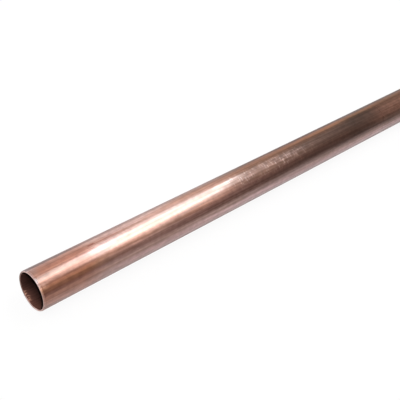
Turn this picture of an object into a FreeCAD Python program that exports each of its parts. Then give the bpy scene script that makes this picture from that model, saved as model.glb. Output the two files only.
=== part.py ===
import FreeCAD, Part
import math
import os

# Copper pipe length: one straight piece of drawn tube for water and heating work.
# Both ends are cut square with a wheel cutter, which rolls the outer edge in, and are then reamed.
# The pipe lies on the floor along X, with the origin under its middle. Sizes are in millimetres.

# Tube as it is sold
outside_diameter = 22.0
wall = 0.9
length = 1000.0

# Outer edge of a cut end, pressed in by the cutter's wheel
rolled_length = 0.8
rolled_drop = 0.22

# Inner edge of a cut end, opened out by the reamer
reamed_length = 0.3
reamed_depth = 0.15

outside_radius = outside_diameter / 2
bore_radius = outside_radius - wall
axis_height = outside_radius
shoulder_x = length / 2 - rolled_length
mouth_x = length / 2 - reamed_length


def on_section(x, radius):
    """A point of the wall's section, which is drawn beside the pipe's axis, level with it."""
    return FreeCAD.Vector(x, radius, axis_height)


def rolled_edge(side):
    """The arc that leaves the outside in line with it and ends where the cut face begins."""
    arc_radius = (rolled_length**2 + rolled_drop**2) / (2 * rolled_drop)
    turn = math.asin(rolled_length / arc_radius)

    def at(angle):
        along = shoulder_x + arc_radius * math.sin(angle)
        inwards = arc_radius * (1 - math.cos(angle))
        return on_section(side * along, outside_radius - inwards)

    return Part.Arc(at(0), at(turn / 2), at(turn)).toShape()


def cut_end(side):
    """The section's edges at one end: the rolled edge, the cut face and the reamed edge."""
    face_x = side * length / 2
    face_outer = on_section(face_x, outside_radius - rolled_drop)
    face_inner = on_section(face_x, bore_radius + reamed_depth)
    bore_mouth = on_section(side * mouth_x, bore_radius)
    return [
        rolled_edge(side),
        Part.makeLine(face_outer, face_inner),
        Part.makeLine(face_inner, bore_mouth),
    ]


def drawn_walls():
    """The section's two long lines: the outside and the bore."""
    return [
        Part.makeLine(on_section(-shoulder_x, outside_radius), on_section(shoulder_x, outside_radius)),
        Part.makeLine(on_section(-mouth_x, bore_radius), on_section(mouth_x, bore_radius)),
    ]


def copper_pipe():
    """The tube: its wall's section turned once round the axis."""
    edges = drawn_walls() + cut_end(-1) + cut_end(1)
    section = Part.Face(Part.Wire(Part.sortEdges(edges)[0]))
    axis_point = FreeCAD.Vector(0, 0, axis_height)
    along_the_pipe = FreeCAD.Vector(1, 0, 0)
    return section.revolve(axis_point, along_the_pipe, 360)


os.makedirs("parts", exist_ok=True)
copper_pipe().exportStep("parts/copper_pipe.step")
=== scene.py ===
import math

import bpy
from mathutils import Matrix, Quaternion, Vector


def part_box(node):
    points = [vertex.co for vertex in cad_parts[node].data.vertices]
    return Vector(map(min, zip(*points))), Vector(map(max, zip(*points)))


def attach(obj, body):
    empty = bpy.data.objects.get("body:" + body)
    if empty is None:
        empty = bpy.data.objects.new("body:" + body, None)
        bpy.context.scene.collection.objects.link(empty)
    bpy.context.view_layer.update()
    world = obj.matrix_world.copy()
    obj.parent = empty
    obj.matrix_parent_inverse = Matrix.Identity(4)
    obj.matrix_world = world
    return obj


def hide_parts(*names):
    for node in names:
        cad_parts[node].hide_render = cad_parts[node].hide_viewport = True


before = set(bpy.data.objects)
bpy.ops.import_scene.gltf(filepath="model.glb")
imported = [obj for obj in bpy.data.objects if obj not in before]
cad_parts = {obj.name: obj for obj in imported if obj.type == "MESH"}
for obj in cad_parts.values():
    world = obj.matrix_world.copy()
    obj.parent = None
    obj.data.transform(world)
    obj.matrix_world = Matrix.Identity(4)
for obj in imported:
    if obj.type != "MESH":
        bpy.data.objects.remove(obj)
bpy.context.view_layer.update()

# Camera
# It stands beside the near end, on the -Y side and well above the pipe, and looks towards the far end.
# The photograph was turned until the pipe lay along its diagonal, so the camera is rolled. The floor's
# edge in the copper shows how far: it runs a quarter of the way up the near side, not higher.
pipe_low, pipe_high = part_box("copper_pipe")
pipe_radius = pipe_high.y
camera_lens = 67.3
camera_before_near_end = 0.1382
camera_from_axis = 0.3514
camera_round_axis = math.radians(29.07)
look_along_pipe = 0.5856
look_round_axis = math.radians(29.6)
camera_roll = math.radians(19.4)

camera_data = bpy.data.cameras.new("camera")
camera_data.lens = camera_lens
camera = bpy.data.objects.new("camera", camera_data)
bpy.context.scene.collection.objects.link(camera)
bpy.context.scene.camera = camera
camera.location = (
    pipe_low.x - camera_before_near_end,
    -camera_from_axis * math.sin(camera_round_axis),
    pipe_radius + camera_from_axis * math.cos(camera_round_axis),
)
look_across_pipe = math.sqrt(1 - look_along_pipe**2)
look = Vector((
    look_along_pipe,
    look_across_pipe * math.sin(look_round_axis),
    -look_across_pipe * math.cos(look_round_axis),
))
camera.rotation_mode = "QUATERNION"
camera.rotation_quaternion = look.to_track_quat("-Z", "Y") @ Quaternion((0, 0, 1), camera_roll)

# Copper pipe: its shape
# One length of drawn copper tube, 22 mm outside with a wall of 0.9 mm, which lies on the floor along X.
# A wheel cutter has cut both ends square and rolled their outer edge in, and a reamer has opened the
# bore's edge. One half of the wall's section is turned round the axis in bands, and the half is mirrored.
wall = 0.0009
rolled_length = 0.0008
rolled_drop = 0.00022
reamed_length = 0.0003
reamed_depth = 0.00015
facets_round = 192
outside_rows = 60
rolled_rows = 6
face_rows = 2
bore_rows = 20
sharp_fold = math.radians(20)
weld_distance = 0.000001

# A Mix node has inputs and an output of the same names for each kind of value. These are their numbers.
mix_sockets = {"VECTOR": (4, 5, 1), "RGBA": (6, 7, 2)}


def node(tree, kind, inputs=None, **settings):
    """Adds a node. An input's value is the socket that feeds it, a plain value, or a colour's R, G and B."""
    made = tree.nodes.new(kind)
    for name, value in settings.items():
        setattr(made, name, value)
    for name, value in (inputs or {}).items():
        socket = made.inputs[name]
        if isinstance(value, bpy.types.NodeSocket):
            tree.links.new(value, socket)
        elif socket.type == "RGBA":
            socket.default_value = (*value, 1)
        else:
            socket.default_value = value
    return made


def maths(tree, operation, *values):
    """A Math node's result."""
    return node(tree, "ShaderNodeMath", dict(enumerate(values)), operation=operation).outputs[0]


def mixed(tree, kind, amount, first, second, blend_type="MIX"):
    """The first value, mixed with the second as far as the amount says."""
    first_input, second_input, result = mix_sockets[kind]
    inputs = {"Factor": amount, first_input: first, second_input: second}
    return node(tree, "ShaderNodeMix", inputs, data_type=kind, blend_type=blend_type).outputs[result]


def group(name, kind, inputs, outputs):
    """A new node group with these named sockets. Returns the tree and its inputs by name."""
    tree = bpy.data.node_groups.new(name, kind)
    for socket, socket_type in inputs.items():
        tree.interface.new_socket(socket, in_out="INPUT", socket_type="NodeSocket" + socket_type)
    for socket, socket_type in outputs.items():
        tree.interface.new_socket(socket, in_out="OUTPUT", socket_type="NodeSocket" + socket_type)
    return tree, node(tree, "NodeGroupInput").outputs


def turned_band():
    """A band of the wall, turned round the axis from one corner of the section to the next."""
    tree, given = group(
        "Turned band",
        "GeometryNodeTree",
        {
            "Start": "Vector",
            "End": "Vector",
            "Bulge": "Float",
            "Rows": "Int",
            "Facets": "Int",
            "Axis Height": "Float",
            "Material": "Material",
        },
        {"Geometry": "Geometry"},
    )
    sheet_length = 1.0
    sheet = node(
        tree,
        "GeometryNodeMeshGrid",
        {
            "Size X": sheet_length,
            "Size Y": math.tau,
            "Vertices X": maths(tree, "ADD", given["Rows"], 1),
            "Vertices Y": maths(tree, "ADD", given["Facets"], 1),
        },
    )
    flat = node(tree, "ShaderNodeSeparateXYZ", {0: node(tree, "GeometryNodeInputPosition").outputs[0]})
    along = maths(tree, "ADD", flat.outputs["X"], sheet_length / 2)
    corner = mixed(tree, "VECTOR", along, given["Start"], given["End"])
    section = node(tree, "ShaderNodeSeparateXYZ", {0: corner})
    hump = maths(tree, "MULTIPLY", along, maths(tree, "SUBTRACT", 1.0, along))
    swell = maths(tree, "MULTIPLY", hump, given["Bulge"])
    radius = maths(tree, "ADD", section.outputs["Y"], swell)
    aside = maths(tree, "MULTIPLY", radius, maths(tree, "SINE", flat.outputs["Y"]))
    above = maths(tree, "MULTIPLY", radius, maths(tree, "COSINE", flat.outputs["Y"]))
    place = node(
        tree,
        "ShaderNodeCombineXYZ",
        {"X": section.outputs["X"], "Y": aside, "Z": maths(tree, "ADD", above, given["Axis Height"])},
    )
    round_axis = node(
        tree, "GeometryNodeSetPosition", {"Geometry": sheet.outputs["Mesh"], "Position": place.outputs[0]}
    )
    band = node(
        tree, "GeometryNodeSetMaterial", {"Geometry": round_axis.outputs[0], "Material": given["Material"]}
    )
    node(tree, "NodeGroupOutput", {"Geometry": band.outputs[0]})
    return tree


def cut_tube():
    """Half a tube with its cut end, then both halves as one closed wall."""
    tree, given = group(
        "Cut tube",
        "GeometryNodeTree",
        {
            "Length": "Float",
            "Outside Radius": "Float",
            "Wall": "Float",
            "Rolled Length": "Float",
            "Rolled Drop": "Float",
            "Reamed Length": "Float",
            "Reamed Depth": "Float",
            "Facets": "Int",
            "Sharp Fold": "Float",
            "Outside": "Material",
            "Cut Edge": "Material",
            "Bore": "Material",
        },
        {"Geometry": "Geometry"},
    )

    def corner(x, radius):
        """A corner of the section, this far along the axis and this far from it."""
        return node(tree, "ShaderNodeCombineXYZ", {"X": x, "Y": radius}).outputs[0]

    end = maths(tree, "MULTIPLY", given["Length"], 0.5)
    outside = given["Outside Radius"]
    bore = maths(tree, "SUBTRACT", outside, given["Wall"])
    shoulder = maths(tree, "SUBTRACT", end, given["Rolled Length"])
    support = maths(tree, "SUBTRACT", shoulder, given["Rolled Length"])
    edge = corner(end, maths(tree, "SUBTRACT", outside, given["Rolled Drop"]))
    mouth = corner(end, maths(tree, "ADD", bore, given["Reamed Depth"]))
    throat = maths(tree, "SUBTRACT", end, given["Reamed Length"])
    deeper = maths(tree, "SUBTRACT", throat, given["Rolled Length"])

    # Start, end, bulge, rows and finish of each band. The rolled edge bulges by as much as it drops, so it
    # leaves the outside in line with it. A single narrow row beside an edge keeps the shading true there.
    bands = [
        (corner(0.0, outside), corner(support, outside), 0.0, outside_rows, "Outside"),
        (corner(support, outside), corner(shoulder, outside), 0.0, 1, "Outside"),
        (corner(shoulder, outside), edge, given["Rolled Drop"], rolled_rows, "Outside"),
        (edge, mouth, 0.0, face_rows, "Cut Edge"),
        (mouth, corner(throat, bore), 0.0, 1, "Cut Edge"),
        (corner(throat, bore), corner(deeper, bore), 0.0, 1, "Bore"),
        (corner(deeper, bore), corner(0.0, bore), 0.0, bore_rows, "Bore"),
    ]
    half = node(tree, "GeometryNodeJoinGeometry")
    band_tree = turned_band()
    for start, stop, bulge, rows, finish in bands:
        band = node(
            tree,
            "GeometryNodeGroup",
            {
                "Start": start,
                "End": stop,
                "Bulge": bulge,
                "Rows": rows,
                "Facets": given["Facets"],
                "Axis Height": outside,
                "Material": given[finish],
            },
            node_tree=band_tree,
        )
        tree.links.new(band.outputs[0], half.inputs[0])
    mirrored = node(
        tree, "GeometryNodeTransform", {"Geometry": half.outputs[0], "Scale": (-1.0, 1.0, 1.0)}
    )
    other_half = node(tree, "GeometryNodeFlipFaces", {"Mesh": mirrored.outputs[0]})
    both = node(tree, "GeometryNodeJoinGeometry", {"Geometry": half.outputs[0]})
    tree.links.new(other_half.outputs[0], both.inputs[0])
    closed = node(
        tree, "GeometryNodeMergeByDistance", {"Geometry": both.outputs[0], "Distance": weld_distance}
    )
    fold = node(tree, "GeometryNodeInputMeshEdgeAngle")
    sharp = node(
        tree,
        "FunctionNodeCompare",
        {"A": fold.outputs["Unsigned Angle"], "B": given["Sharp Fold"]},
        operation="GREATER_THAN",
    )
    creases = node(
        tree,
        "GeometryNodeSetShadeSmooth",
        {"Geometry": closed.outputs[0], "Selection": sharp.outputs[0], "Shade Smooth": False},
        domain="EDGE",
    )
    realised = node(tree, "GeometryNodeRealizeInstances", {"Geometry": creases.outputs[0]})
    node(tree, "NodeGroupOutput", {"Geometry": realised.outputs[0]})
    return tree


def turn_pipe(outside, cut_edge, bore):
    """Runs the tree on an empty mesh and keeps the result as a plain piece."""
    tree = cut_tube()
    seed = bpy.data.objects.new("pipe seed", bpy.data.meshes.new("pipe seed"))
    bpy.context.scene.collection.objects.link(seed)
    turning = seed.modifiers.new("turning", "NODES")
    turning.node_group = tree
    sizes = {
        "Length": pipe_high.x - pipe_low.x,
        "Outside Radius": pipe_radius,
        "Wall": wall,
        "Rolled Length": rolled_length,
        "Rolled Drop": rolled_drop,
        "Reamed Length": reamed_length,
        "Reamed Depth": reamed_depth,
        "Facets": facets_round,
        "Sharp Fold": sharp_fold,
        "Outside": outside,
        "Cut Edge": cut_edge,
        "Bore": bore,
    }
    for socket in tree.interface.items_tree:
        if socket.in_out == "INPUT":
            turning[socket.identifier] = sizes[socket.name]
    evaluated = seed.evaluated_get(bpy.context.evaluated_depsgraph_get())
    pipe = bpy.data.objects.new("copper_pipe_drawn", bpy.data.meshes.new_from_object(evaluated))
    bpy.context.scene.collection.objects.link(pipe)
    bpy.data.objects.remove(seed)
    return pipe


# Copper pipe: its finish
# The outside is drawn copper that has dulled to a brownish pink under a thin clear film. Fine lines run
# along it from the die, and short nicks lie across it from handling. Both ends are redder, with a pale
# collar where the cutter's rollers ran. Painted highlights, sheen, shade and reflections lie in its colour
# too. The cut edges are fresher metal with painted light and shade, and the bore is brown with oxide and
# painted shade.
copper_colour = (0.54, 0.347, 0.304)
grazing_tint = (0.5, 0.45, 0.45)
end_tint = (0.99, 0.81, 0.71)
collar_tint = (1.1, 1.23, 1.35)
# A painted highlight on the collar, where the light's reflection runs over it.
painted_collar_highlight_tint = (1.8, 2.1, 2.2)
washed_tint = (1.05, 1.25, 1.4)
line_tint = (0.68, 0.63, 0.6)
streak_tint = (0.82, 0.78, 0.74)
mottle_tint = (0.8, 0.79, 0.79)
# The nicks' tint is partly fresher metal and partly their painted glints.
nick_metal_and_glint_tint = (1.6, 1.95, 2.12)
scratch_tint = (0.7, 0.5, 0.45)
line_depth = 0.00001
nick_depth = 0.00004

# Gloss: the drawn surface's own, the wider one of the haze over it, and the film's
smooth_roughness = 0.195
worn_roughness = 0.42
hazy_roughness = 0.386
clean_roughness = 0.347
haze_share = 0.418
collar_metallic = 0.75
film_weight = 0.76
thin_film_weight = 0.1
film_roughness = 0.297
film_ior = 1.5

# Where the outside changes. Lengths are in metres from the near end, or from the nearer end where the name
# says end. Degrees go round from the top, towards the camera's side. Two limits fade in from the first to
# the second, and four fade in, stay and fade out. The drift makes the edges of the patches uneven.
red_end = (0.04, 0.024)
washed_end = (0.0045, 0.001)
washed_round = (-75, -55, -10, 4)
collar_end = (0.0012, 0.0005)
# Where the painted highlight lies on the collar.
painted_collar_highlight_round = (-2, 10, 18, 34)
dull_along = (0.276, 0.288, 0.36, 0.42)
clean_along = (0.23, 0.29)
film_round = (-58, -40, 96, 114)
far_back_along = (0.12, 0.17)
far_back_round = (-26, -44)
far_back_thinning = 0.5
handled_place = ((0.125, 0.14, 0.17, 0.225), (-22, 0, 26, 46))
smudge_place = ((0.0335, 0.0345, 0.0375, 0.039), (-19, -17, -13, -11))
scratch_place = ((0.034, 0.036, 0.05, 0.06), (-14, -13, -12, -11))
mean_drift = 0.5
drift_along = 0.006
drift_from_end = 0.004
drift_round = 6.0

# The limits where a patch runs on past an end of the pipe
before = (-2, -1)
onwards = (2, 3)

# Patches of tint: the four limits along the pipe, the four round it, and the tint that multiplies the
# colour.
# A few are the film's own tarnish near the mouth. Most are painted light: painted highlights, sheen and
# shade, and painted reflections of the room and the floor along the pipe.
patches = {
    "red band's edge": ((*before, 0.031, 0.035), (-36, -26, 8, 20), (0.91, 0.86, 0.84)),
    "grey back": ((*before, 0.02, 0.034), (-110, -90, -38, -28), (0.64, 0.71, 0.81)),
    "brown flank": ((*before, 0.03, 0.05), (58, 63, 71, 79), (0.86, 0.79, 0.73)),
    # Painted highlight near the mouth: the light's reflection, paler in its core, with painted light and
    # shade beside it.
    "painted highlight core": ((*before, 0.035, 0.055), (0, 8, 13, 19), (0.98, 1.42, 1.7)),
    "above the core": ((*before, 0.03, 0.045), (-4, 0, 6, 10), (0.88, 0.95, 1.02)),
    "below the core": ((*before, 0.033, 0.048), (15, 20, 27, 34), (0.77, 0.82, 0.85)),
    "band above the core": ((0.006, 0.015, 0.045, 0.06), (-20, -15, -11, -6), (1.22, 1.2, 1.25)),
    "core's upper edge": ((0.036, 0.041, 0.07, 0.08), (-8, -4, 0, 4), (0.87, 0.9, 0.94)),
    "dark underside": ((*before, 0.008, 0.025), (84, 92, 110, 125), (0.82, 0.84, 0.86)),
    "crown": ((0.015, 0.04, 0.1, 0.13), (-14, -8, -2, 4), (0.85, 0.91, 0.95)),
    "crown by the mouth": ((0.012, 0.022, 0.042, 0.06), (-8, -4, 2, 7), (0.85, 0.83, 0.85)),
    # Painted highlight where the light's reflection spreads at the mouth.
    "painted highlight at the mouth": ((*before, 0.0018, 0.0035), (22, 28, 34, 40), (1.4, 1.55, 1.6)),
    "flank by the mouth": ((0.0002, 0.0012, 0.0032, 0.0055), (24, 29, 40, 46), (1.22, 1.37, 1.45)),
    "near flank": ((*before, 0.03, 0.05), (32, 38, 48, 54), (1.03, 1.03, 0.88)),
    # Painted highlight: the orange shoulder below the light's reflection, with painted shade in it.
    "painted orange shoulder": ((*before, 0.1, 0.15), (24, 31, 37, 46), (1.28, 1.22, 1.12)),
    "painted shade in the shoulder": ((0.062, 0.075, 0.085, 0.1), (22, 30, 40, 48), (0.85, 0.9, 0.92)),
    "pink streak": ((0.042, 0.052, 0.066, 0.076), (-30, -24, -17, -11), (1.17, 1.27, 1.37)),
    "end of the streak": ((0.066, 0.076, 0.086, 0.096), (-38, -33, -25, -19), (1.11, 1.17, 1.22)),
    # Painted shade: the edge of the dark band, the upper side, and the back beyond the light's reflection.
    "dark line": ((*before, 0.12, 0.16), (50, 55, 59, 62), (0.84, 0.82, 0.82)),
    "upper side": ((*before, *onwards), (-110, -80, -42, -30), (0.8, 0.8, 0.82)),
    "back": ((0.11, 0.15, *onwards), (-110, -80, -43, -27), (0.5, 0.42, 0.33)),
    # Painted reflection of the tan wall along the back, with painted light in it and painted shade at its
    # edge.
    "tan back": ((0.14, 0.17, *onwards), (-52, -42, -30, -20), (1.04, 0.91, 0.81)),
    "tan edge": ((0.14, 0.17, *onwards), (-54, -46, -37, -31), (0.86, 0.68, 0.5)),
    "far tan edge": ((0.2, 0.26, *onwards), (-54, -46, -36, -30), (1.25, 1.5, 1.8)),
    "painted bright strip": ((0.14, 0.25, 0.268, 0.288), (-34, -28, -20, -13), (1.5, 1.5, 1.5)),
    "bright line": ((0.215, 0.235, 0.27, 0.285), (-35, -30, -24, -20), (1.17, 1.15, 1.12)),
    "strip's edge": ((0.135, 0.15, *onwards), (-19, -13, -4, 6), (0.78, 0.75, 0.72)),
    # Painted reflection of the floor along the lower side, with painted shade below it.
    "pale lower side": ((*before, *onwards), (66, 80, 96, 116), (1.11, 1.17, 1.25)),
    "far lower side": ((0.11, 0.15, *onwards), (66, 80, 96, 116), (1.1, 1.15, 1.2)),
    "far underside": ((0.12, 0.17, *onwards), (92, 98, 112, 130), (0.88, 0.89, 0.9)),
    "painted floor reflection line": ((0.03, 0.06, *onwards), (72, 80, 84, 94), (1.18, 1.14, 1.2)),
    "above the painted floor reflection line": ((0.13, 0.15, 0.19, 0.22), (57, 62, 70, 76), (1.1, 1.13, 1.2)),
    # Painted shade in the dark band on the near side.
    "near side": ((0.07, 0.2, *onwards), (38, 48, 66, 74), (0.76, 0.78, 0.78)),
    "below the near side": ((0.215, 0.235, 0.275, 0.295), (49, 55, 61, 66), (0.7, 0.67, 0.68)),
    # Painted highlight at the reflection's tip, with painted light and shade round it and painted sheen
    # after it.
    "olive line": ((0.12, 0.145, 0.19, 0.215), (38, 43, 50, 55), (1.12, 1.2, 1.22)),
    "painted highlight tip": ((0.068, 0.09, 0.142, 0.15), (-10, -3, 14, 20), (0.98, 1.13, 1.2)),
    "painted paler highlight tip": ((0.112, 0.124, 0.132, 0.138), (-12, -5, 12, 18), (1, 1.1, 1.12)),
    "tip's upper edge": ((0.128, 0.134, 0.141, 0.146), (-12, -8, -3, 2), (1.12, 1.22, 1.3)),
    "lower edge of the gloss": ((0.088, 0.096, 0.112, 0.128), (14, 20, 25, 31), (1.17, 1.27, 1.3)),
    "below the tip": ((0.1, 0.113, 0.13, 0.142), (14, 20, 28, 36), (1.28, 1.24, 1.2)),
    "shadow below the tip": ((0.122, 0.134, 0.143, 0.149), (5, 9, 18, 24), (0.84, 0.77, 0.74)),
    "beyond the tip": ((0.143, 0.147, 0.158, 0.172), (-10, -4, 12, 20), (0.87, 0.89, 0.91)),
    "painted sheen over the scuffs": ((0.145, 0.155, 0.162, 0.18), (6, 16, 32, 42), (1.13, 1.14, 1.12)),
    "painted shade past the sheen": ((0.165, 0.18, 0.195, 0.215), (-8, 0, 10, 18), (0.75, 0.76, 0.78)),
    "painted light above the sheen": ((0.16, 0.18, 0.24, 0.26), (-22, -16, -6, 2), (1.22, 1.22, 1.22)),
    # Darker towards the far end, in a ring and a patch beyond it.
    "darker ring": ((0.235, 0.255, 0.271, 0.284), (-60, -50, 50, 60), (0.7, 0.75, 0.78)),
    "beyond the ring": ((0.272, 0.286, 0.36, 0.42), (34, 42, 58, 66), (0.68, 0.7, 0.68)),
    # Painted highlight near the far end.
    "painted highlight near the far end": ((0.281, 0.286, 0.3, 0.32), (-12, -4, 24, 34), (1.2, 1.23, 1.23)),
}

# Cut edges. The rim has painted shade away from its lit top, and painted highlights and painted shade on
# these parts of it.
cut_colour = (0.74, 0.54, 0.5)
ring_tint = (0.85, 0.82, 0.8)
tarnish_tint = (0.75, 0.7, 0.68)
painted_rim_side_shade_tint = (0.75, 0.73, 0.73)
lit_rim_top = (-62, -38, 35, 60)
painted_rim_light_and_shade = {
    "shaded back": ((-172, -150, -84, -58), (0.52, 0.45, 0.42)),
    "bright top": ((-58, -42, 0, 14), (1.18, 1.2, 1.2)),
    "pale flank": ((86, 96, 108, 120), (1.18, 1.15, 1.15)),
    "pale underside": ((124, 134, 146, 156), (1.3, 1.32, 1.32)),
}
cut_roughness = (0.42, 0.55)
ring_depth = 0.000003

# Bore. It has painted shade deeper in and on its upper side, and a painted shadow of the rim that begins
# on a slant: close to the mouth on one side, and further in on the other.
bore_colour = (0.3, 0.135, 0.098)
oxide_tint = (0.72, 0.68, 0.68)
cloud_tint = (0.8, 0.75, 0.75)
painted_depth_shade_tint = (0.22, 0.2, 0.23)
painted_upper_shade_tint = (0.5, 0.5, 0.55)
painted_rim_shadow_tint = (0.15, 0.12, 0.12)
speck_colour = (0.9, 0.47, 0.32)
painted_depth_shade_end = (0.0, 0.009)
painted_upper_shade_round = (-160, -120, 110, 150)
slant_turn = 151
slant_length = 0.008
painted_rim_shadow_end = (0.0069, 0.0075)
rubbed_end = (0.0034, 0.001)
rubbed_round = (-178, -166, -146, -132)
bore_metallic = 0.5
bore_roughness = (0.36, 0.5)

# Each grain's scale in X, Y and Z, its detail, and the levels of the noise that become 0 and 1. The rings
# and the tarnish of the cut edges are laid out by length, radius and degrees instead.
grains = {
    "drift": ((45, 140, 140), 2.0, 0.2, 0.8),
    "lines": ((14, 900, 900), 3.0, 0.38, 0.62),
    "streaks": ((22, 420, 420), 3.0, 0.38, 0.62),
    "mottle": ((330, 400, 400), 3.0, 0.38, 0.62),
    "nicks": ((1000, 340, 340), 0.0, 0.6, 0.7),
    "nick groups": ((60, 90, 90), 1.0, 0.27, 0.5),
    "rings": ((9000, 14000, 0.02), 2.0, 0.3, 0.7),
    "tarnish": ((200, 400, 0.05), 2.0, 0.35, 0.7),
    "mandrel lines": ((20, 1500, 1500), 2.0, 0.35, 0.65),
    "oxide clouds": ((60, 150, 150), 2.0, 0.3, 0.7),
    "bright specks": ((260, 1300, 1300), 1.0, 0.5, 0.62),
}


def length(tree, vector):
    """How long a vector is."""
    return node(tree, "ShaderNodeVectorMath", {0: vector}, operation="LENGTH").outputs["Value"]


def place_on_pipe():
    """Where a point is: distance from the near end and the nearer end, degrees from the top towards -Y."""
    tree, given = group(
        "Place on the pipe",
        "ShaderNodeTree",
        {"Object": "Vector"},
        {"Place": "Vector", "Along": "Float", "From End": "Float", "Degrees": "Float", "Radius": "Float"},
    )
    place = node(
        tree,
        "ShaderNodeVectorMath",
        {0: given["Object"], 1: (-pipe_low.x, 0, -pipe_radius)},
        operation="ADD",
    ).outputs[0]
    x, y, z = node(tree, "ShaderNodeSeparateXYZ", {0: place}).outputs
    across = node(tree, "ShaderNodeCombineXYZ", {"Y": y, "Z": z}).outputs[0]
    to_far_end = maths(tree, "SUBTRACT", pipe_high.x - pipe_low.x, x)
    angle = maths(tree, "ARCTAN2", maths(tree, "MULTIPLY", y, -1.0), z)
    node(
        tree,
        "NodeGroupOutput",
        {
            "Place": place,
            "Along": x,
            "From End": maths(tree, "MINIMUM", x, to_far_end),
            "Degrees": maths(tree, "DEGREES", angle),
            "Radius": length(tree, across),
        },
    )
    return tree


def stretched_grain():
    """Noise stretched by Scale, spread from 0 at Low to 1 at High."""
    tree, given = group(
        "Stretched grain",
        "ShaderNodeTree",
        {"Place": "Vector", "Scale": "Vector", "Detail": "Float", "Low": "Float", "High": "Float"},
        {"Amount": "Float"},
    )
    stretched = node(
        tree, "ShaderNodeVectorMath", {0: given["Place"], 1: given["Scale"]}, operation="MULTIPLY"
    )
    noise = node(
        tree,
        "ShaderNodeTexNoise",
        {"Vector": stretched.outputs[0], "Scale": 1.0, "Detail": given["Detail"]},
    )
    amount = node(
        tree,
        "ShaderNodeMapRange",
        {"Value": noise.outputs[0], "From Min": given["Low"], "From Max": given["High"]},
    )
    node(tree, "NodeGroupOutput", {"Amount": amount.outputs[0]})
    return tree


place_tree = place_on_pipe()
grain_tree = stretched_grain()


def start_material(name):
    """An empty material, with a point's place on the pipe by name."""
    material = bpy.data.materials.new(name)
    material.use_nodes = True
    tree = material.node_tree
    tree.nodes.clear()
    object_place = node(tree, "ShaderNodeTexCoord").outputs["Object"]
    on_pipe = node(tree, "ShaderNodeGroup", {"Object": object_place}, node_tree=place_tree).outputs
    return material, tree, on_pipe


def grain(tree, place, name):
    """How strong the grain of this name is at this place."""
    scale, detail, low, high = grains[name]
    return node(
        tree,
        "ShaderNodeGroup",
        {"Place": place, "Scale": scale, "Detail": detail, "Low": low, "High": high},
        node_tree=grain_tree,
        label=name,
    ).outputs[0]


def between(tree, amount, low, high):
    """From low where the amount is 0 to high where it is 1."""
    return node(tree, "ShaderNodeMapRange", {"Value": amount, "To Min": low, "To Max": high}).outputs[0]


def ramp(tree, value, low, high):
    """A smooth step from 0 at low to 1 at high."""
    return node(
        tree,
        "ShaderNodeMapRange",
        {"Value": value, "From Min": low, "From Max": high},
        interpolation_type="SMOOTHSTEP",
    ).outputs[0]


def overlap(tree, *amounts):
    """Where all of these amounts are."""
    shared = amounts[0]
    for amount in amounts[1:]:
        shared = maths(tree, "MULTIPLY", shared, amount)
    return shared


def band(tree, value, outer_low, inner_low, inner_high, outer_high):
    """1 between the inner two, and 0 beyond the outer two."""
    return overlap(tree, ramp(tree, value, outer_low, inner_low), ramp(tree, value, outer_high, inner_high))


def patch(tree, along, degrees, along_limits, round_limits):
    """A band along the pipe, only where it meets a band round it."""
    return overlap(tree, band(tree, along, *along_limits), band(tree, degrees, *round_limits))


def tinted(tree, colour, amount, tint, name=""):
    """The colour, multiplied by the tint as far as the amount says."""
    result = mixed(tree, "RGBA", amount, colour, tint, blend_type="MULTIPLY")
    result.node.label = name
    return result


def bumped(tree, height, depth, under=None):
    """The normal where the height rises by this depth, over another bump's."""
    inputs = {"Height": height, "Strength": 1.0, "Distance": depth}
    if under:
        inputs["Normal"] = under
    return node(tree, "ShaderNodeBump", inputs).outputs[0]


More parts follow.
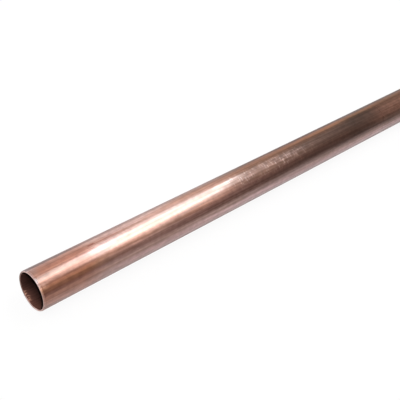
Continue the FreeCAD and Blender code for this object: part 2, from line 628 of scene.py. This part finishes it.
def outside_finish():
    """Dulled drawn copper with its patches, lines and marks, under the clear film. Many patches are
    painted highlights, sheen, shade and reflections.
    """
    material, tree, on_pipe = start_material("drawn copper")
    place = on_pipe["Place"]
    drift = maths(tree, "SUBTRACT", grain(tree, place, "drift"), mean_drift)
    along = maths(tree, "MULTIPLY_ADD", drift, drift_along, on_pipe["Along"])
    from_end = maths(tree, "MULTIPLY_ADD", drift, drift_from_end, on_pipe["From End"])
    degrees = maths(tree, "MULTIPLY_ADD", drift, drift_round, on_pipe["Degrees"])

    near_end = ramp(tree, from_end, *red_end)
    washed = overlap(tree, ramp(tree, from_end, *washed_end), band(tree, degrees, *washed_round))
    collar = ramp(tree, on_pipe["From End"], *collar_end)
    # A painted highlight on the collar.
    painted_collar_highlight = overlap(tree, collar, band(tree, on_pipe["Degrees"], *painted_collar_highlight_round))
    lines = grain(tree, place, "lines")
    streaks = grain(tree, place, "streaks")
    mottle = grain(tree, place, "mottle")
    handled = patch(tree, along, degrees, *handled_place)
    nicks = overlap(tree, grain(tree, place, "nick groups"), handled, grain(tree, place, "nicks"))
    smudge = patch(tree, on_pipe["Along"], on_pipe["Degrees"], *smudge_place)
    scratch = patch(tree, on_pipe["Along"], on_pipe["Degrees"], *scratch_place)

    colour = tinted(tree, copper_colour, near_end, end_tint)
    # Tarnish and painted light, one patch at a time.
    for name, (along_limits, round_limits, tint) in patches.items():
        colour = tinted(tree, colour, patch(tree, along, degrees, along_limits, round_limits), tint, name)
    # The nicks' tint also paints in their glints.
    for amount, tint in (
        (washed, washed_tint),
        (collar, collar_tint),
        (painted_collar_highlight, painted_collar_highlight_tint),
        (lines, line_tint),
        (streaks, streak_tint),
        (mottle, mottle_tint),
        (nicks, nick_metal_and_glint_tint),
        (smudge, scratch_tint),
        (scratch, scratch_tint),
    ):
        colour = tinted(tree, colour, amount, tint)

    worn = maths(tree, "MAXIMUM", band(tree, along, *dull_along), collar)
    cleaner = ramp(tree, along, *clean_along)
    bare = maths(tree, "SUBTRACT", 1.0, band(tree, degrees, *film_round))
    far_back = overlap(tree, ramp(tree, along, *far_back_along), ramp(tree, degrees, *far_back_round))
    thin = maths(tree, "MAXIMUM", bare, maths(tree, "MULTIPLY", far_back, far_back_thinning))
    film = between(tree, thin, film_weight, thin_film_weight)
    metallic = between(tree, collar, 1.0, collar_metallic)
    normal = bumped(tree, lines, line_depth)
    normal = bumped(tree, nicks, nick_depth, normal)
    tangent = node(tree, "ShaderNodeTangent", direction_type="RADIAL", axis="X").outputs[0]
    own_gloss, hazy_gloss = [
        node(
            tree,
            "ShaderNodeBsdfPrincipled",
            {
                "Base Color": colour,
                "Metallic": metallic,
                "Roughness": roughness,
                "Anisotropic": 1.0,
                "Tangent": tangent,
                "Normal": normal,
                "Specular Tint": grazing_tint,
                "Coat Weight": film,
                "Coat Roughness": film_roughness,
                "Coat IOR": film_ior,
            },
        ).outputs[0]
        for roughness in (
            between(tree, worn, smooth_roughness, worn_roughness),
            between(tree, cleaner, hazy_roughness, clean_roughness),
        )
    ]
    surface = node(tree, "ShaderNodeMixShader", {0: haze_share, 1: own_gloss, 2: hazy_gloss})
    node(tree, "ShaderNodeOutputMaterial", {"Surface": surface.outputs[0]})
    return material


def cut_edge_finish():
    """Fresher copper with the fine rings of the cutting wheel and the reamer, and painted light and shade
    on the rim.
    """
    material, tree, on_pipe = start_material("cut copper")
    degrees = on_pipe["Degrees"]
    ring_place = node(
        tree, "ShaderNodeCombineXYZ", {"X": on_pipe["Along"], "Y": on_pipe["Radius"], "Z": degrees}
    ).outputs[0]
    rings = grain(tree, ring_place, "rings")
    tarnish = grain(tree, ring_place, "tarnish")
    # Painted shade on the rim's sides, away from its lit top.
    painted_shade_sides = maths(tree, "SUBTRACT", 1.0, band(tree, degrees, *lit_rim_top))
    colour = tinted(tree, cut_colour, rings, ring_tint)
    colour = tinted(tree, colour, tarnish, tarnish_tint)
    colour = tinted(tree, colour, painted_shade_sides, painted_rim_side_shade_tint)
    # Painted highlights and painted shade on parts of the rim.
    for name, (limits, tint) in painted_rim_light_and_shade.items():
        colour = tinted(tree, colour, band(tree, degrees, *limits), tint, name)
    shader = node(
        tree,
        "ShaderNodeBsdfPrincipled",
        {
            "Base Color": colour,
            "Metallic": 1.0,
            "Roughness": between(tree, tarnish, *cut_roughness),
            "Normal": bumped(tree, rings, ring_depth),
        },
    )
    node(tree, "ShaderNodeOutputMaterial", {"Surface": shader.outputs[0]})
    return material


def bore_finish():
    """Brown oxide with lines from the mandrel, painted shade deeper in and on the upper side, and a painted
    shadow of the rim. Specks are rubbed brighter low down in the mouth.
    """
    material, tree, on_pipe = start_material("oxidised bore")
    place = on_pipe["Place"]
    from_end = on_pipe["From End"]
    degrees = on_pipe["Degrees"]
    lines = grain(tree, place, "mandrel lines")
    clouds = grain(tree, place, "oxide clouds")
    # Painted shade deeper in and on the upper side, and a painted shadow of the rim on a slant.
    deeper = ramp(tree, from_end, *painted_depth_shade_end)
    upper = band(tree, degrees, *painted_upper_shade_round)
    turn = maths(tree, "RADIANS", maths(tree, "ADD", degrees, slant_turn))
    slant = maths(tree, "MULTIPLY_ADD", maths(tree, "COSINE", turn), -slant_length, slant_length)
    dark = ramp(tree, maths(tree, "ADD", from_end, slant), *painted_rim_shadow_end)
    mouth = overlap(tree, ramp(tree, from_end, *rubbed_end), band(tree, degrees, *rubbed_round))
    rubbed = overlap(tree, mouth, grain(tree, place, "bright specks"))
    colour = bore_colour
    for amount, tint in (
        (lines, oxide_tint),
        (clouds, cloud_tint),
        (deeper, painted_depth_shade_tint),
        (upper, painted_upper_shade_tint),
        (dark, painted_rim_shadow_tint),
    ):
        colour = tinted(tree, colour, amount, tint)
    colour = mixed(tree, "RGBA", rubbed, colour, speck_colour)
    shader = node(
        tree,
        "ShaderNodeBsdfPrincipled",
        {
            "Base Color": colour,
            "Metallic": bore_metallic,
            "Roughness": between(tree, clouds, *bore_roughness),
            "Normal": bumped(tree, lines, line_depth),
        },
    )
    node(tree, "ShaderNodeOutputMaterial", {"Surface": shader.outputs[0]})
    return material


pipe = turn_pipe(outside_finish(), cut_edge_finish(), bore_finish())
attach(pipe, "root")
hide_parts("copper_pipe")

# Floor and light
# The floor is white to the camera and in the copper, with a faint shadow round the pipe. One large soft
# light hangs high on the far side. The room is there for the copper to mirror: its dim side is the dark
# band along the pipe, and its foot is white, so the white in the copper ends a little above the floor.
floor_colour = (0.8, 0.8, 0.8)
floor_half_size = 300.0
floor_corners = ((-1, -1), (1, -1), (1, 1), (-1, 1))
shade_half_length = 1.2
shade_half_width = 0.5
shade_core = 0.3
shade_whiteness = 0.92
light_place = (0.389, 0.421, 1.347)
light_size = (1.758, 0.628)
light_heading = math.radians(-39.6)
light_lean = math.radians(64.0)
light_spin = math.radians(108.7)
light_radiance = 5.5

# The room's parts lie by a ray's direction, and each fades in from its first limit to its second. Across
# the pipe the window fades out again. An azimuth turns from +X towards +Y, a slope is how far a ray runs
# along the pipe over how far across it, and a rise is its angle above +Y.
bright_side_colour = (0.788, 0.664, 0.554)
dim_side_colour = (0.115, 0.03, 0.02)
dim_side_azimuth = (math.radians(-15.7), math.radians(-41.9))
deep_room_tint = (0.165, 0.165, 0.165)
deep_room_slope = (0.8, 1.1)
far_wall_colour = (0.6, 0.43, 0.34)
far_wall_slope = (1.185, 1.23)
rear_wall_colour = (0.9, 0.85, 0.8)
rear_wall_x = (0.1, -0.2)
white = (1, 1, 1)
low_rear_wall_x = (-0.3, -0.5)
low_rear_wall_z = (0.45, 0.35)
foot_z = (0.03, 0.02)
window_colour = (3.0, 3.0, 3.15)
window_x = (0.2, 0.05)
window_y = (-0.55, -0.3, 0.05, 0.4)
window_z = (0.5, 0.8)
side_wall_colour = (0.823, 0.586, 0.372)
side_wall_rise = (math.radians(30), math.radians(28.3))
backdrop_colour = (1.398, 1.473, 1.557)
backdrop_azimuth = (math.radians(56.4), math.radians(56.6))
backdrop_elevation = (math.radians(52.3), math.radians(-0.6))

floor_mesh = bpy.data.meshes.new("floor")
floor_mesh.from_pydata(
    [(x * floor_half_size, y * floor_half_size, 0) for x, y in floor_corners], [], [(0, 1, 2, 3)]
)
floor = bpy.data.objects.new("floor", floor_mesh)
bpy.context.scene.collection.objects.link(floor)
floor_material = bpy.data.materials.new("pale floor")
floor_material.use_nodes = True
tree = floor_material.node_tree
tree.nodes.clear()
rays = node(tree, "ShaderNodeLightPath").outputs
floor_place = node(tree, "ShaderNodeTexCoord").outputs["Object"]
shade_scale = (1 / shade_half_length, 1 / shade_half_width, 1)
shade_place = node(tree, "ShaderNodeMapping", {"Vector": floor_place, "Scale": shade_scale}).outputs[0]
far_off = ramp(tree, length(tree, shade_place), shade_core, 1.0)
whiteness = between(tree, far_off, shade_whiteness, 1.0)
seen_directly = maths(tree, "MULTIPLY", rays["Is Camera Ray"], whiteness)
seen_in_gloss = maths(tree, "MAXIMUM", rays["Is Glossy Ray"], rays["Is Transmission Ray"])
seen = maths(tree, "MAXIMUM", seen_directly, seen_in_gloss)
cloth = node(tree, "ShaderNodeBsdfDiffuse", {"Color": floor_colour})
glow = node(tree, "ShaderNodeEmission", {"Strength": 1.0})
surface = node(tree, "ShaderNodeMixShader", {0: seen, 1: cloth.outputs[0], 2: glow.outputs[0]})
node(tree, "ShaderNodeOutputMaterial", {"Surface": surface.outputs[0]})
floor_mesh.materials.append(floor_material)

light_data = bpy.data.lights.new("soft light", "AREA")
light_data.shape = "RECTANGLE"
light_data.size, light_data.size_y = light_size
light_data.energy = light_radiance * math.pi * light_size[0] * light_size[1]
light = bpy.data.objects.new("soft light", light_data)
bpy.context.scene.collection.objects.link(light)
light.location = light_place
light.rotation_mode = "QUATERNION"
light.rotation_quaternion = (
    Quaternion((0, 0, 1), light_heading)
    @ Quaternion((0, 1, 0), light_lean)
    @ Quaternion((0, 0, 1), light_spin)
)

world = bpy.data.worlds.new("room")
bpy.context.scene.world = world
world.use_nodes = True
tree = world.node_tree
tree.nodes.clear()
direction = node(tree, "ShaderNodeTexCoord").outputs["Generated"]
x, y, z = node(tree, "ShaderNodeSeparateXYZ", {0: direction}).outputs
azimuth = maths(tree, "ARCTAN2", y, x)
elevation = maths(tree, "ARCSINE", z)
rise_over_side = maths(tree, "ARCTAN2", z, y)
across = node(tree, "ShaderNodeCombineXYZ", {"Y": y, "Z": z}).outputs[0]
slope = maths(tree, "DIVIDE", x, length(tree, across))
far_side = maths(tree, "GREATER_THAN", y, 0.0)

dim_side = ramp(tree, azimuth, *dim_side_azimuth)
deep_room = ramp(tree, slope, *deep_room_slope)
far_wall = ramp(tree, slope, *far_wall_slope)
rear_wall = ramp(tree, x, *rear_wall_x)
low_rear_wall = overlap(tree, ramp(tree, x, *low_rear_wall_x), ramp(tree, z, *low_rear_wall_z))
foot = ramp(tree, z, *foot_z)
window = overlap(
    tree, ramp(tree, x, *window_x), ramp(tree, z, *window_z), band(tree, y, *window_y)
)
side_wall = overlap(tree, ramp(tree, rise_over_side, *side_wall_rise), far_side)
backdrop = overlap(
    tree, ramp(tree, azimuth, *backdrop_azimuth), ramp(tree, elevation, *backdrop_elevation)
)
room = mixed(tree, "RGBA", dim_side, bright_side_colour, dim_side_colour)
room = tinted(tree, room, deep_room, deep_room_tint)
for amount, colour in (
    (far_wall, far_wall_colour),
    (rear_wall, rear_wall_colour),
    (low_rear_wall, white),
    (foot, white),
    (window, window_colour),
    (side_wall, side_wall_colour),
    (backdrop, backdrop_colour),
):
    room = mixed(tree, "RGBA", amount, room, colour)
background = node(tree, "ShaderNodeBackground", {"Color": room, "Strength": 1.0})
node(tree, "ShaderNodeOutputWorld", {"Surface": background.outputs[0]})

bpy.context.scene.view_settings.view_transform = "Standard"
